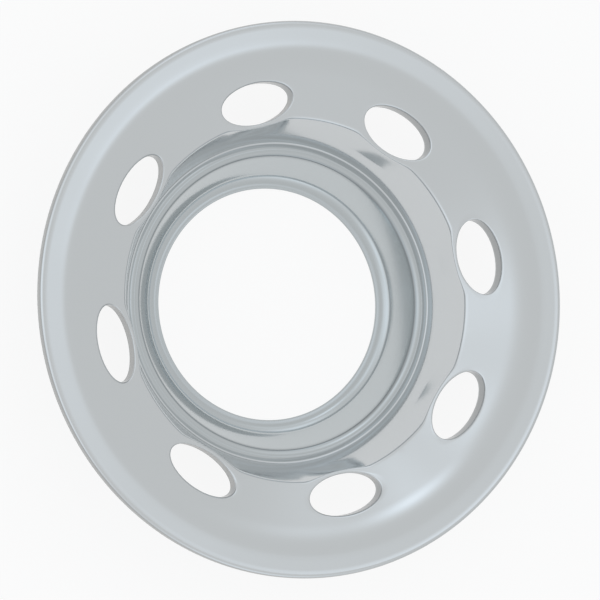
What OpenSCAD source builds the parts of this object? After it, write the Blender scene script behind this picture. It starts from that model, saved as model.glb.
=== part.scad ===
// Wheel cover: one dished, polished sheet with a round of oval hand holes,
// a steep wall down to a raised collar, and a funnel to the open centre.
// Millimetres. The wheel axis is Z, the front faces +Z, and the flat lip
// round the centre opening rests on the plane z = 0.

/* [Overall] */
// outside diameter over the turned-back edge
cover_d = 440; // [430:5:460]
// height from the rear of the centre lip to the front of the rim zone
cover_h = 90; // [88:1:94]
// thickness of the sheet
sheet_t = 1; // [0.8:0.1:1.2]

/* [Rim zone] */
// how far the edge is turned back behind the front
edge_depth = 7; // [6:0.5:10]
// radius of the turned edge, on its front side
edge_round = 3; // [2:0.5:4]
// slope of the outer rim zone toward the centre, in degrees
rim_slope = 3; // [2:0.5:4]
// radius of the broad round between the rim zone and the dish
crown_round = 80; // [60:5:90]

/* [Dish] */
// slope of the dish at the hand holes, in degrees
dish_slope = 22; // [20:0.5:24]
// depth of the dish below the front, where the hand holes are centred
dish_depth = 14.2; // [13:0.2:16]
// radius of the shoulder where the dish drops into the steep wall
shoulder_round = 8; // [5:0.5:10]
// lean of the steep wall away from the wheel axis, in degrees
wall_lean = 19.5; // [18:0.5:21]

/* [Hand holes] */
// number of hand holes
hole_n = 8; // [4:1:8]
// radius of the circle the hand holes are centred on
hole_ring_r = 158.5; // [157:0.5:161]
// direction of the first hand hole, in degrees from +X
hole_start = 12.5; // [0:0.5:44]
// length of a hand hole round the wheel
hole_l = 61.2; // [50:0.2:64]
// width of a hand hole across the dish, seen along the wheel axis
hole_w = 31.8; // [28:0.2:33]
// how far the turned-in wall of a hand hole reaches behind the dish
hole_wall = 12.5; // [8:0.5:14]
// width of the narrow rim between a hand hole and the steep wall
hole_rim = 2.8; // [2.6:0.1:3.4]

/* [Collar] */
// radius of the groove at the foot of the steep wall
groove_r = 129; // [127:0.5:130]
// height of that groove above the rear of the lip
groove_z = 26.5; // [25:0.5:28]
// radius of the round in the groove, on its front side
groove_round = 2; // [1.5:0.25:3]
// width of the raised collar
collar_w = 10.2; // [9.5:0.1:12]
// height of the collar above the groove, before it is rounded
collar_rise = 2.6; // [2:0.2:3.4]
// radius of the collar's crown
collar_round = 7; // [5:0.5:8]
// radius of the collar's inner corner
collar_corner = 2.5; // [2:0.25:3]

/* [Centre] */
// radius of the centre opening
opening_r = 94; // [90:0.5:95]
// radius at which the funnel turns into the flat lip
lip_r = 103; // [102:0.5:105]
// radius of the round between the funnel and the lip
lip_round = 6; // [4:0.5:7]

/* [Hidden] */
$fn = 120;
arc_step = 8;
margin = 20;
cover_r = cover_d / 2;
hole_a = hole_l / 2;
hole_b = hole_w / 2;
hole_pitch = 360 / hole_n;
dish_rise = tan(dish_slope);
wall_run = tan(wall_lean);
dish_z = cover_h - dish_depth;
crest_r = groove_r - 0.47 * collar_w;
crest_z = groove_z + collar_rise;
funnel_r = groove_r - collar_w;
funnel_z = groove_z + 0.1 * collar_rise;
zone_in_r = hole_ring_r - hole_b - 10;
zone_out_r = hole_ring_r + hole_b + 10;
zone_sink = 0.3;
// the outside of a hole's wall sits off centre, so that its rim is widest at the steep wall
sleeve_a = hole_a + 1.5 * sheet_t;
sleeve_b = hole_b + (sheet_t + hole_rim) / 2;
sleeve_shift = (sheet_t - hole_rim) / 2;

// straight lines of the front surface, as height at radius r
function rim_line(r) = cover_h + 0.15 - (cover_r - r) * tan(rim_slope);
function dish_line(r) = dish_z - (hole_ring_r - r) * dish_rise;
crown_r = (dish_z - hole_ring_r * dish_rise - cover_h - 0.15 + cover_r * tan(rim_slope))
    / (tan(rim_slope) - dish_rise);
shoulder_z = (dish_z - (hole_ring_r - groove_r + groove_z * wall_run) * dish_rise)
    / (1 - wall_run * dish_rise);
shoulder_r = groove_r + (shoulder_z - groove_z) * wall_run;

// corners of the front surface from the turned edge to the opening, [r, z]
corners = [
    [cover_r, cover_h - edge_depth],
    [cover_r, rim_line(cover_r)],
    [crown_r, rim_line(crown_r)],
    [shoulder_r, shoulder_z],
    [groove_r, groove_z],
    [crest_r, crest_z],
    [funnel_r, funnel_z],
    [lip_r, sheet_t],
    [opening_r, sheet_t]
];
rounds = [0, edge_round, crown_round, shoulder_round, groove_round,
    collar_round, collar_corner, lip_round, 0];
last = len(corners) - 1;

function unit(v) = v / norm(v);
function left(v) = [-v[1], v[0]];
function heading(i) = unit(corners[i + 1] - corners[i]);
function bend(i) = cross(heading(i - 1), heading(i));

// corner i of the surface that lies a distance d behind the front
function shifted(i, d) =
    i == 0 ? corners[0] + d * left(heading(0)) :
    i == last ? corners[last] + d * left(heading(last - 1)) :
    let (a = left(heading(i - 1)), b = left(heading(i)))
    corners[i] + d * (a + b) / (1 + a * b);

// points of the round at corner i, a distance d behind the front
function corner_arc(i, d) =
    let (
        side = bend(i) > 0 ? 1 : -1,
        r = rounds[i] - side * d,
        turn = acos(heading(i - 1) * heading(i)),
        start = shifted(i, d) - heading(i - 1) * r * tan(turn / 2),
        centre = start + side * r * left(heading(i - 1)),
        spoke = start - centre,
        steps = ceil(turn / arc_step * sqrt(abs(r) / 12))
    )
    [for (k = [0:steps])
        let (q = side * turn * k / steps)
        centre + [spoke[0] * cos(q) - spoke[1] * sin(q), spoke[0] * sin(q) + spoke[1] * cos(q)]];

// the whole surface line, a distance d behind the front
function surface_line(d) = concat(
    [shifted(0, d)],
    [for (i = [1:last - 1]) each corner_arc(i, d)],
    [shifted(last, d)]
);

// the bent sheet in half section, from the turned edge to the opening
module sheet_section() {
    front = surface_line(0);
    rear = surface_line(sheet_t);
    polygon(concat(front, [for (i = [len(rear) - 1:-1:0]) rear[i]]));
}

// puts a child at each hand hole, level with the dish at the hole's centre
module at_holes() {
    for (k = [0:hole_n - 1])
        rotate([0, 0, hole_start + k * hole_pitch])
        translate([hole_ring_r, 0, dish_z])
        children();
}

// upright oval bar, reaching well past the sheet on both sides
module oval_bar(half_w, half_l) {
    translate([0, 0, -2 * margin])
    linear_extrude(height = 3 * margin)
    scale([half_w, half_l])
    circle(r = 1);
}

// ring in which the turned-in walls lie, from just under the dish's front
module wall_zone() {
    rotate_extrude()
    polygon([
        [zone_in_r, dish_line(zone_in_r) - zone_sink],
        [zone_out_r, dish_line(zone_out_r) - zone_sink],
        [zone_out_r, dish_line(zone_out_r) - hole_wall],
        [zone_in_r, dish_line(zone_in_r) - hole_wall]
    ]);
}

// turned-in walls of all hand holes, still solid
module hole_sleeves() {
    intersection() {
        wall_zone();
        at_holes()
        translate([sleeve_shift, 0, 0])
        oval_bar(sleeve_b, sleeve_a);
    }
}

// the dished sheet with its rim edge, hand-hole rims, collar and funnel
module wheel_cover() {
    color("Silver")
    difference() {
        union() {
            rotate_extrude() sheet_section();
            hole_sleeves();
        }
        at_holes() oval_bar(hole_b, hole_a);
    }
}

wheel_cover();
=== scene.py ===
from math import asin, atan2, cos, hypot, pi, radians, sin, sqrt, tan

import bmesh
import bpy
from mathutils import Matrix, Vector


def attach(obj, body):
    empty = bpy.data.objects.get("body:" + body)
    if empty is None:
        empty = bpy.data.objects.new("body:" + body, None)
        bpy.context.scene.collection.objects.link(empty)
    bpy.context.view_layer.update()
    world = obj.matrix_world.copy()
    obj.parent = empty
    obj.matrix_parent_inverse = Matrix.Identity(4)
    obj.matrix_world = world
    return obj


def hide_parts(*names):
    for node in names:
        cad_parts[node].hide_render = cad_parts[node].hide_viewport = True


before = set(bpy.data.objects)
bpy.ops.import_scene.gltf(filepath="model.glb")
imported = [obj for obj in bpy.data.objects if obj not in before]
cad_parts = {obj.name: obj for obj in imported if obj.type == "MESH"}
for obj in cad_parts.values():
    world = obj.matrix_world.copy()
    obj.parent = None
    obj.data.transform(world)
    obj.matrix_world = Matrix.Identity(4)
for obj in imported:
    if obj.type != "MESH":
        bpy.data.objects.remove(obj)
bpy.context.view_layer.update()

# The cover lies on its lip, front up: the wheel axis is Z and the floor is z = 0.
# Lengths in the dictionaries are millimetres and angles are degrees.
mm = 0.001

coverForm = {
    "outerRadius": 220.0,
    "frontHeight": 90.0,
    "sheet": 1.0,
    "edgeDepth": 7.0,       # how far the edge is turned back
    "edgeRound": 3.0,
    "rimSlope": 3.0,
    "rimLift": 0.15,        # puts the top of the edge's round at the front height
    "crownRound": 80.0,     # between the rim zone and the dish
    "dishSlope": 22.0,
    "dishDepth": 14.2,      # at the hand holes' centres
    "shoulderRound": 4.5,
    "wallLean": 19.5,
    "grooveRadius": 129.0,
    "grooveHeight": 26.5,
    "grooveRound": 1.3,
    "collarWidth": 10.2,
    "collarRise": 2.6,
    "collarRound": 7.9,
    "collarCorner": 4.5,
    "lipRadius": 103.0,
    "lipRound": 10.0,
    "openingRadius": 94.0,
    "cutEdge": 0.22,        # bevel on the bare sheared edges
    "cutEdgeAngle": 60.0,   # edges that turn more than this are sheared edges
    "cutEdgeSteps": 2,
    "columns": 32,          # mesh columns for each hand hole's share
    "sideRows": 8,
    "straightInner": 6,     # columns that meet a hole straight on, each side of its middle
    "straightOuter": 5,
    "crownSteps": 12,
    "rimSteps": 4,
    "edgeSteps": 8,
    "shoulderSteps": 8,
    "wallSteps": 3,
    "footBend": 3.2,        # reach of the soft bend low on the steep wall
    "footSteps": 5,
    "cornerSteps": (9, 7, 7, 7),  # mesh rows over the groove, the collar's two corners and the funnel's foot
    "gapSteps": (7, 2, 2, 7),     # mesh rows before each of them
    "lipSteps": 3,
    "searchSteps": 40,      # rounds of closing in on the shoulder's corner
    "seamGap": 0.004,       # vertices closer than this are one
}

handHoles = {
    "count": 8,
    "ringRadius": 158.5,
    "startAngle": 12.5,
    "length": 61.2,
    "width": 31.8,
    "wallDepth": 12.5,
    "entry": 1.6,           # width of the rounded entry, seen from the front
    "rimRadius": 139.8,     # inner side of the narrow rim by the steep wall
    "rimReach": 26.0,       # half length of that rim
    "rimBlend": 3.5,        # how late the rim's small round grows into the shoulder's
    "rimSoftness": 1.0,
    "rimRound": 1.5,
    "rimFoot": 45.0,        # height at which the rim's outside runs into the wall
    "rings": 7,             # mesh rings between a hole and its frame
    "entrySteps": 5,
    "wallSteps": 3,
}


# Form of the sheet: heights and radii of its front.

def roundCorner(before, corner, after, reach, steps):
    # points of a round that leaves both legs at the same reach from the corner
    start = corner + (before - corner).normalized() * reach
    end = corner + (after - corner).normalized() * reach
    turn = (corner - before).angle(after - corner)
    pull = 4 / 3 * tan(turn / 4) / tan(turn / 2) if turn > 1e-4 else 2 / 3
    first, second = start.lerp(corner, pull), end.lerp(corner, pull)
    points = []
    for k in range(steps + 1):
        s = k / steps
        points.append(start * (1 - s) ** 3 + first * (3 * s * (1 - s) ** 2)
                      + second * (3 * s * s * (1 - s)) + end * s ** 3)
    return points


def roundReach(before, corner, after, radius):
    return radius * tan((corner - before).angle(after - corner) / 2)


def straight(start, end, steps):
    # points between two ends, without the ends
    return [start.lerp(end, k / steps) for k in range(1, steps)]


def rimHeight(r):
    fall = (coverForm["outerRadius"] - r) * tan(radians(coverForm["rimSlope"]))
    return coverForm["frontHeight"] + coverForm["rimLift"] - fall


def dishHeight(r):
    fall = (handHoles["ringRadius"] - r) * tan(radians(coverForm["dishSlope"]))
    return coverForm["frontHeight"] - coverForm["dishDepth"] - fall


def wallRadius(z):
    return coverForm["grooveRadius"] + (z - coverForm["grooveHeight"]) * tan(radians(coverForm["wallLean"]))


def shoulderRadius():
    # where the dish's line meets the steep wall's line
    r = coverForm["grooveRadius"]
    for _ in range(coverForm["searchSteps"]):
        r = wallRadius(dishHeight(r))
    return r


def outerLine():
    # front of the sheet from the crown's inner end out to the turned edge
    f = coverForm
    slopes = tan(radians(f["rimSlope"])), tan(radians(f["dishSlope"]))
    crownR = (dishHeight(0) - rimHeight(0)) / (slopes[0] - slopes[1])
    dish = Vector((100, dishHeight(100)))
    crown = Vector((crownR, rimHeight(crownR)))
    edge = Vector((f["outerRadius"], rimHeight(f["outerRadius"])))
    foot = Vector((f["outerRadius"], f["frontHeight"] - f["edgeDepth"]))
    crownReach = roundReach(dish, crown, edge, f["crownRound"])
    edgeReach = roundReach(crown, edge, foot, f["edgeRound"])
    crownArc = roundCorner(dish, crown, edge, crownReach, f["crownSteps"])
    edgeArc = roundCorner(crown, edge, foot, edgeReach, f["edgeSteps"])
    rim = straight(crownArc[-1], edgeArc[0], f["rimSteps"])
    return crownArc + rim + edgeArc + [edgeArc[-1].lerp(foot, 0.5), foot]


def innerLine(wallStart):
    # front of the sheet from the lower part of the steep wall in to the opening
    f = coverForm
    corners = [
        Vector((f["grooveRadius"], f["grooveHeight"])),
        Vector((f["grooveRadius"] - 0.47 * f["collarWidth"], f["grooveHeight"] + f["collarRise"])),
        Vector((f["grooveRadius"] - f["collarWidth"], f["grooveHeight"] + 0.1 * f["collarRise"])),
        Vector((f["lipRadius"], f["sheet"])),
    ]
    rounds = [f["grooveRound"], f["collarRound"], f["collarCorner"], f["lipRound"]]
    end = Vector((f["openingRadius"], f["sheet"]))
    ends = [wallStart] + corners + [end]
    line = []
    last = wallStart
    for k, corner in enumerate(corners):
        before, after = ends[k], ends[k + 2]
        reach = roundReach(before, corner, after, rounds[k])
        arc = roundCorner(before, corner, after, reach, f["cornerSteps"][k])
        line += straight(last, arc[0], f["gapSteps"][k]) + arc
        last = arc[-1]
    return line + straight(last, end, f["lipSteps"]) + [end]


def rimLine(azimuth):
    # from the dish over the shoulder to the steep wall, pushed in beside a hand hole
    f, h = coverForm, handHoles
    base = shoulderRadius()
    along = abs(base * sin(azimuth))
    push = (base - h["rimRadius"]) * (1 - (along / h["rimReach"]) ** 2)
    push = (push + sqrt(push * push + h["rimSoftness"] ** 2)) / 2
    shoulderR = base - push
    blend = min(1, along / (h["rimReach"] + 2)) ** h["rimBlend"]
    radius = h["rimRound"] + (f["shoulderRound"] - h["rimRound"]) * blend
    dish = Vector((200, dishHeight(200)))
    shoulder = Vector((shoulderR, dishHeight(shoulderR)))
    foot = Vector((wallRadius(h["rimFoot"]), h["rimFoot"]))
    wall = Vector((wallRadius(30), 30))
    arc = roundCorner(dish, shoulder, foot, roundReach(dish, shoulder, foot, radius), f["shoulderSteps"])
    bend = roundCorner(shoulder, foot, wall, f["footBend"], f["footSteps"])
    return arc + straight(arc[-1], bend[0], f["wallSteps"]) + bend


# One hand hole's share of the sheet, laid out flat and then formed.

def extrudeRow(bm, edges, around, spot):
    # a new row of edges beyond the given ones, each vertex set at the spot worked out from its old one
    made = bmesh.ops.extrude_edge_only(bm, edges=edges)["geom"]
    fresh = {v for v in made if isinstance(v, bmesh.types.BMVert)}
    for v in fresh:
        old = next(e.other_vert(v) for e in v.link_edges if e.other_vert(v) not in fresh)
        v[around] = old[around]
        v.co = spot(old)
    return [e for e in made if isinstance(e, bmesh.types.BMEdge) and fresh.issuperset(e.verts)]


def azimuthOf(v):
    return atan2(v.co.y, v.co.x)


def onRing(azimuth, r, z):
    return Vector((r * cos(azimuth), r * sin(azimuth), z))


def holePoint(angle, outward=0.0):
    # spot on a hand hole's outline in plan, pushed outward along its normal
    # angle 0 is the hole's end, 90 degrees its outer side
    h = handHoles
    a, b = h["length"] / 2, h["width"] / 2
    normal = Vector((sin(angle) / b, cos(angle) / a)).normalized()
    return Vector((h["ringRadius"] + b * sin(angle), a * cos(angle))) + normal * outward


def holeAngle(column, side):
    # angle on a hand hole's outline, counted from the middle of its long side, that faces a column
    h = handHoles
    azimuth = column / coverForm["columns"] * 2 * pi / h["count"]
    return asin((h["ringRadius"] + side * h["width"] / 2) * tan(azimuth) / (h["length"] / 2))


def outlineAngle(column, row):
    # the middle columns meet the hole straight on; all others, and the side rows, share its end
    columns, rows = coverForm["columns"], coverForm["sideRows"]
    inner, outer = coverForm["straightInner"], coverForm["straightOuter"]
    if row == 0 and column <= inner:
        return -pi / 2 + holeAngle(column, -1)
    if row == rows and column <= outer:
        return pi / 2 - holeAngle(column, 1)
    step = row + columns // 2 - inner
    if row == 0:
        step = column - inner
    elif row == rows:
        step += columns // 2 - column
    first = -pi / 2 + holeAngle(inner, -1)
    final = pi / 2 - holeAngle(outer, 1)
    return first + (final - first) * step / (columns - inner - outer + rows)


def makeShare():
    # one hand hole's share of the sheet, with the hole on the X axis
    f, h = coverForm, handHoles
    columns, rows = f["columns"], f["sideRows"]
    outward = outerLine()
    bm = bmesh.new()
    around = bm.verts.layers.float.new("around")
    bmesh.ops.create_grid(bm, x_segments=columns, y_segments=rows, size=0.5)
    bmesh.ops.delete(bm, geom=[e for e in bm.edges if not e.is_boundary], context="EDGES")
    bmesh.ops.delete(bm, geom=[v for v in bm.verts if not v.link_edges], context="VERTS")
    outerVerts, innerVerts = set(), set()
    for v in bm.verts:
        column = round(v.co.x * columns)
        row = round((v.co.y + 0.5) * rows)
        if row == rows:
            outerVerts.add(v)
        if row == 0:
            innerVerts.add(v)
        angle = outlineAngle(abs(column), row)
        v[around] = angle if column >= 0 else pi - angle
        azimuth = column / columns * 2 * pi / h["count"]
        inner = rimLine(azimuth)[0].x
        r = inner + (outward[0].x - inner) * row / rows
        v.co = onRing(azimuth, r, 0)
    frameEdges = list(bm.edges)
    outerEdges = [e for e in frameEdges if outerVerts.issuperset(e.verts)]
    innerEdges = [e for e in frameEdges if innerVerts.issuperset(e.verts)]

    # ring at the start of the hole's rounded entry, and rings between it and the frame
    holeEdges = extrudeRow(bm, frameEdges, around, lambda v: holePoint(v[around], h["entry"]).to_3d())
    spokes = [e for e in bm.edges if e not in set(frameEdges) and e not in set(holeEdges)]
    bmesh.ops.subdivide_edges(bm, edges=spokes, cuts=h["rings"] - 1, use_grid_fill=True)
    for v in bm.verts:
        v.co.z = dishHeight(hypot(v.co.x, v.co.y))

    # outward over the crown to the turned edge, inward down the wall to the opening
    edges = outerEdges
    for point in outward[1:]:
        edges = extrudeRow(bm, edges, around, lambda v: onRing(azimuthOf(v), point.x, point.y))
    edges = innerEdges
    for k in range(1, len(rimLine(0))):
        edges = extrudeRow(bm, edges, around, lambda v: onRing(azimuthOf(v), *rimLine(azimuthOf(v))[k]))
    for point in innerLine(rimLine(0)[-1]):
        edges = extrudeRow(bm, edges, around, lambda v: onRing(azimuthOf(v), point.x, point.y))

    # round the hole's entry and turn its wall in
    edges = holeEdges
    for k in range(1, len(holeLine(0))):
        edges = extrudeRow(bm, edges, around, lambda v: holeLine(v[around])[k])
    return bm


def holeLine(angle):
    # from the dish over the rounded entry to the rear end of the hole's wall
    h = handHoles
    start = holePoint(angle, h["entry"]).to_3d()
    corner = holePoint(angle).to_3d()
    start.z = dishHeight(hypot(start.x, start.y))
    corner.z = dishHeight(hypot(corner.x, corner.y))
    end = corner - Vector((0, 0, h["wallDepth"]))
    arc = roundCorner(start, corner, end, (start - corner).length, h["entrySteps"])
    return arc + straight(arc[-1], end, h["wallSteps"]) + [end]


def makeCover():
    f, h = coverForm, handHoles
    bm = makeShare()
    share = bm.verts[:] + bm.edges[:] + bm.faces[:]
    for k in range(1, h["count"]):
        copy = bmesh.ops.duplicate(bm, geom=share)["geom"]
        verts = [v for v in copy if isinstance(v, bmesh.types.BMVert)]
        bmesh.ops.rotate(bm, verts=verts, matrix=Matrix.Rotation(2 * pi * k / h["count"], 3, "Z"))
    bmesh.ops.remove_doubles(bm, verts=bm.verts, dist=f["seamGap"])
    bmesh.ops.rotate(bm, verts=bm.verts, matrix=Matrix.Rotation(radians(h["startAngle"]), 3, "Z"))
    bmesh.ops.recalc_face_normals(bm, faces=bm.faces)
    if sum(face.normal.z * face.calc_area() for face in bm.faces) < 0:
        bmesh.ops.reverse_faces(bm, faces=bm.faces)
    bmesh.ops.solidify(bm, geom=bm.faces, thickness=f["sheet"])
    bm.normal_update()
    sharp = radians(f["cutEdgeAngle"])
    cutEdges = [e for e in bm.edges if e.is_manifold and e.calc_face_angle() > sharp]
    bmesh.ops.bevel(bm, geom=cutEdges, offset=f["cutEdge"], segments=f["cutEdgeSteps"], profile=0.5,
                    affect="EDGES", material=-1)
    bmesh.ops.scale(bm, verts=bm.verts, vec=(mm, mm, mm))
    for face in bm.faces:
        face.smooth = True
    mesh = bpy.data.meshes.new("chromeCover")
    bm.to_mesh(mesh)
    bm.free()
    cover = bpy.data.objects.new("chromeCover", mesh)
    bpy.context.scene.collection.objects.link(cover)
    mesh.materials.append(polishedSteel())
    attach(cover, "root")
    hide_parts("wheel_cover")
    return cover


cameraView = {
    "position": (-0.9988, -0.1362, 2.655),
    "forward": (0.3603, 0.0490, -0.9316),
    "up": (0.0, 0.9986, 0.0525),
    "lens": 210.0,
    "sensor": 36.0,
}

steelFinishAndShade = {
    "silver": (0.640, 0.660, 0.668),
    "paintedGrooveShade": (0.580, 0.612, 0.622),  # the same steel darkened inside the groove: painted shade for its darker reflections
    "grooveShadeReach": (0.1265, 0.1295),  # radii in metres over which that painted shade ends
    "paintedShadeLines": (                  # painted shade in dark rings: radius, spread and depth
        (0.1188, 0.0011, 0.38),
        (0.1235, 0.0030, 0.10),
        (0.0970, 0.0060, 0.10),
    ),
    "holePaintedShade": 0.30,              # painted shade on the turned-in hole walls
    "holeZone": (0.1422, 0.1765),
    "holeUpright": (0.12, 0.30),
    "rear": (0.56, 0.565, 0.56),    # the dull, unpolished rear
    "rearRoughness": 0.24,
    "rearWander": 0.20,     # how far the rear's roughness follows its rings
    "rearLean": 4.0,        # how much an outward look counts against a downward one
    "rearEdge": (-0.15, -0.05),
    "ringScale": 260.0,     # faint drawing rings on the rear, in a metre
    "ringDepth": 0.30,
    "roughness": 0.12,
    "clouding": 0.05,       # how far the roughness wanders
    "cloudScale": 14.0,
    "grain": 0.03,          # fine speckle in the roughness
    "grainScale": 900.0,
    "ripple": 0.02,         # broad waves left by the drawing press
    "rippleScale": 9.0,
    "rippleDepth": 0.01,
}

studio = {
    "sky": 0.785,
    "horizon": 0.50,        # level low down round the room
    "horizonReach": (0.05, 0.42),  # heights on the sky's unit ball between which it brightens
    "skyTint": (0.985, 1.0, 1.01),
    "lightTint": (0.93, 0.99, 1.05),
    "tinting": 2.5,         # how soon a brighter patch takes the lights' tint
    "floorColour": 0.86,
    "whiteToCamera": 0.88,  # share of the floor's white that shadow can't darken, seen directly
    "whiteInMetal": 0.62,   # the same share, seen in the metal
    "floorSize": 8.0,
    "floorGap": 0.0003,     # metres between the lip and the floor
}

# soft lights round the room: where each stands, how wide it spreads in degrees, and how bright it is
softLights = {
    "sweepBox": ((0.10, 0.51, 0.854), 6.5, 0.54),
    "sweepEnd": ((0.36, 0.53, 0.765), 8.0, 0.14),
    "sweepStart": ((-0.24, 0.45, 0.855), 10.0, 0.27),
    "leftTop": ((-0.39, 0.05, 0.92), 12.0, 0.17),
    "leftWindow": ((-0.75, 0.13, 0.62), 24.0, 0.36),
    "lowLeft": ((-0.67, -0.45, 0.55), 16.0, 0.30),
    "lowFront": ((0.10, -0.97, 0.20), 25.0, 0.36),
    "lowTop": ((0.15, 0.88, 0.45), 14.0, 0.35),
    "besideCamera": ((0.40, 0.0, 0.9165), 3.5, 0.42),
}


class Wire:
    # a shader socket that can be worked with as a number
    def __init__(self, paint, socket):
        self.paint = paint
        self.socket = socket

    def sum(self, operation, a, b):
        return self.paint.node("ShaderNodeMath", {"operation": operation}, {0: a, 1: b})

    def __add__(self, other):
        return self.sum("ADD", self, other)

    def __radd__(self, other):
        return self.sum("ADD", other, self)

    def __sub__(self, other):
        return self.sum("SUBTRACT", self, other)

    def __rsub__(self, other):
        return self.sum("SUBTRACT", other, self)

    def __mul__(self, other):
        return self.sum("MULTIPLY", self, other)

    def __rmul__(self, other):
        return self.sum("MULTIPLY", other, self)


class Paint:
    # adds nodes to one material or world
    def __init__(self, tree):
        self.tree = tree
        tree.nodes.clear()

    def node(self, kind, settings=None, inputs=None, output=0):
        made = self.tree.nodes.new(kind)
        for name, value in (settings or {}).items():
            setattr(made, name, value)
        for name, value in (inputs or {}).items():
            if isinstance(value, Wire):
                self.tree.links.new(value.socket, made.inputs[name])
            else:
                made.inputs[name].default_value = value
        return Wire(self, made.outputs[output]) if made.outputs else None


def polishedSteel():
    # mirror polish in front, painted shade inside the groove, in rings and on the hole walls, and a duller
    # rear
    f = steelFinishAndShade
    material = bpy.data.materials.new("polishedSteel")
    material.use_nodes = True
    paint = Paint(material.node_tree)
    place = paint.node("ShaderNodeTexCoord", output=3)
    clouds = paint.node("ShaderNodeTexNoise", {}, {"Vector": place, "Scale": f["cloudScale"], "Detail": 3.0})
    grain = paint.node("ShaderNodeTexNoise", {}, {"Vector": place, "Scale": f["grainScale"], "Detail": 2.0})
    waves = paint.node("ShaderNodeTexNoise", {}, {"Vector": place, "Scale": f["rippleScale"], "Detail": 1.0})

    flat = paint.node("ShaderNodeVectorMath", {"operation": "MULTIPLY"}, {0: place, 1: (1, 1, 0)})
    radius = paint.node("ShaderNodeVectorMath", {"operation": "LENGTH"}, {0: flat}, output=1)
    # painted shade: the steel inside the groove is darkened from here inward
    inner, outer = f["grooveShadeReach"]
    inside = paint.node("ShaderNodeMapRange", {"interpolation_type": "SMOOTHSTEP"},
                        {0: radius, 1: inner, 2: outer, 3: 1.0, 4: 0.0})
    turned = paint.node("ShaderNodeNewGeometry", output=1)
    lift = paint.node("ShaderNodeSeparateXYZ", {}, {0: turned}, output=2)
    upright = lift * lift
    steepFrom, steepTo = f["holeUpright"]
    steep = paint.node("ShaderNodeMapRange", {}, {
        0: upright, 1: steepFrom ** 2, 2: steepTo ** 2, 3: 1.0, 4: 0.0})
    zoneFrom, zoneTo = f["holeZone"]
    beyond = paint.node("ShaderNodeMath", {"operation": "GREATER_THAN"}, {0: radius, 1: zoneFrom})
    before = paint.node("ShaderNodeMath", {"operation": "LESS_THAN"}, {0: radius, 1: zoneTo})
    # painted shade on the steep walls of the hand holes
    shade = steep * beyond * before * f["holePaintedShade"]
    # painted shade: dark rings at the collar's inner corner, over the collar and round the lip
    for middle, spread, depth in f["paintedShadeLines"]:
        away = (radius - middle) * (1 / spread)
        line = paint.node("ShaderNodeMath", {"operation": "EXPONENT"}, {0: away * away * -1})
        shade = line * depth + shade
    # painted shade: inside the groove the front takes the darker colour
    front = paint.node("ShaderNodeMix", {"data_type": "RGBA"}, {
        0: inside, 6: (*f["silver"], 1), 7: (*f["paintedGrooveShade"], 1)}, output=2)
    shaded = paint.node("ShaderNodeMix", {"data_type": "RGBA"}, {
        0: shade, 6: front, 7: (0, 0, 0, 1)}, output=2)

    # the rear is the side whose surface looks down, or out from the axis
    outward = paint.node("ShaderNodeVectorMath", {"operation": "DOT_PRODUCT"}, {0: flat, 1: turned}, output=1)
    facing = lift - outward * f["rearLean"]
    rearFrom, rearTo = f["rearEdge"]
    rear = paint.node("ShaderNodeMapRange", {}, {0: facing, 1: rearFrom, 2: rearTo, 3: 1.0, 4: 0.0})
    rise = paint.node("ShaderNodeSeparateXYZ", {}, {0: place}, output=2)
    across = paint.node("ShaderNodeCombineXYZ", {}, {0: radius, 1: rise})
    rings = paint.node("ShaderNodeTexNoise", {}, {"Vector": across, "Scale": f["ringScale"], "Detail": 4.0})
    worn = paint.node("ShaderNodeMix", {"data_type": "RGBA"}, {
        0: (rings * 0.7 + clouds * 0.3) * f["ringDepth"], 6: (*f["rear"], 1), 7: (0, 0, 0, 1)}, output=2)
    colour = paint.node("ShaderNodeMix", {"data_type": "RGBA"}, {0: rear, 6: shaded, 7: worn}, output=2)
    duller = rear * (f["rearRoughness"] - f["roughness"] + (rings - 0.5) * f["rearWander"])
    rough = f["roughness"] + (clouds - 0.5) * f["clouding"] + (grain - 0.5) * f["grain"] + duller
    bump = paint.node("ShaderNodeBump", {}, {
        "Strength": f["ripple"], "Distance": f["rippleDepth"], "Height": waves})
    steel = paint.node("ShaderNodeBsdfPrincipled", {}, {
        "Base Color": colour, "Metallic": 1.0, "Roughness": rough, "Normal": bump})
    paint.node("ShaderNodeOutputMaterial", {}, {"Surface": steel})
    return material


def paleFloor():
    material = bpy.data.materials.new("paleFloor")
    material.use_nodes = True
    paint = Paint(material.node_tree)
    camera = paint.node("ShaderNodeLightPath")
    glossy = paint.node("ShaderNodeLightPath", output=3)
    through = paint.node("ShaderNodeLightPath", output=6)
    inMetal = paint.node("ShaderNodeMath", {"operation": "MAXIMUM"}, {0: glossy, 1: through})
    share = camera * studio["whiteToCamera"] + inMetal * studio["whiteInMetal"]
    matt = paint.node("ShaderNodeBsdfDiffuse", {}, {"Color": (*[studio["floorColour"]] * 3, 1)})
    white = paint.node("ShaderNodeEmission", {}, {"Color": (1, 1, 1, 1), "Strength": 1.0})
    mixed = paint.node("ShaderNodeMixShader", {}, {0: share, 1: matt, 2: white})
    paint.node("ShaderNodeOutputMaterial", {}, {"Surface": mixed})
    return material


def makeFloor():
    bm = bmesh.new()
    bmesh.ops.create_grid(bm, x_segments=1, y_segments=1, size=studio["floorSize"] / 2)
    bmesh.ops.translate(bm, verts=bm.verts, vec=(0, 0, -studio["floorGap"]))
    mesh = bpy.data.meshes.new("studioFloor")
    bm.to_mesh(mesh)
    bm.free()
    floor = bpy.data.objects.new("studioFloor", mesh)
    bpy.context.scene.collection.objects.link(floor)
    mesh.materials.append(paleFloor())


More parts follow.
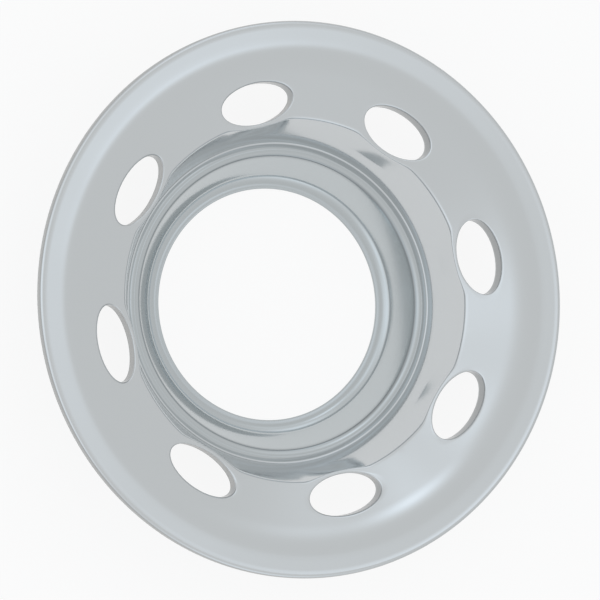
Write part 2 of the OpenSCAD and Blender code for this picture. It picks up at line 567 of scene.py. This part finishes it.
def makeWorld():
    world = bpy.data.worlds.new("paleRoom")
    world.use_nodes = True
    bpy.context.scene.world = world
    paint = Paint(world.node_tree)
    toward = paint.node("ShaderNodeTexCoord", output=0)
    low, high = studio["horizonReach"]
    height = paint.node("ShaderNodeSeparateXYZ", {}, {0: toward}, output=2)
    above = paint.node("ShaderNodeMapRange", {"interpolation_type": "SMOOTHSTEP"},
                       {0: height, 1: low, 2: high, 3: studio["horizon"], 4: studio["sky"]})
    level = above
    for direction, spread, strength in softLights.values():
        facing = paint.node("ShaderNodeVectorMath", {"operation": "DOT_PRODUCT"},
                            {0: toward, 1: Vector(direction).normalized()}, output=1)
        drop = (facing - 1) * (2 / radians(spread) ** 2)
        fall = paint.node("ShaderNodeMath", {"operation": "EXPONENT"}, {0: drop})
        level = fall * strength + level
    lit = (level - above) * studio["tinting"]
    tint = paint.node("ShaderNodeMix", {"data_type": "RGBA"}, {
        0: lit, 6: (*studio["skyTint"], 1), 7: (*studio["lightTint"], 1)}, output=2)
    sky = paint.node("ShaderNodeBackground", {}, {"Color": tint, "Strength": level})
    white = paint.node("ShaderNodeBackground", {}, {"Color": (1, 1, 1, 1), "Strength": 1.0})
    seen = paint.node("ShaderNodeLightPath")
    shown = paint.node("ShaderNodeMixShader", {}, {0: seen, 1: sky, 2: white})
    paint.node("ShaderNodeOutputWorld", {}, {"Surface": shown})


def makeCamera():
    c = cameraView
    forward = Vector(c["forward"]).normalized()
    right = forward.cross(Vector(c["up"])).normalized()
    up = right.cross(forward)
    data = bpy.data.cameras.new("photoCamera")
    data.lens = c["lens"]
    data.sensor_width = c["sensor"]
    camera = bpy.data.objects.new("photoCamera", data)
    bpy.context.scene.collection.objects.link(camera)
    turn = Matrix((right, up, -forward)).transposed().to_4x4()
    camera.matrix_world = Matrix.Translation(c["position"]) @ turn
    bpy.context.scene.camera = camera


print("stage: camera and studio")
makeCamera()
makeFloor()
makeWorld()
bpy.context.scene.view_settings.view_transform = "Standard"

print("stage: chrome cover")
cover = makeCover()
print("cover:", len(cover.data.polygons), "faces")
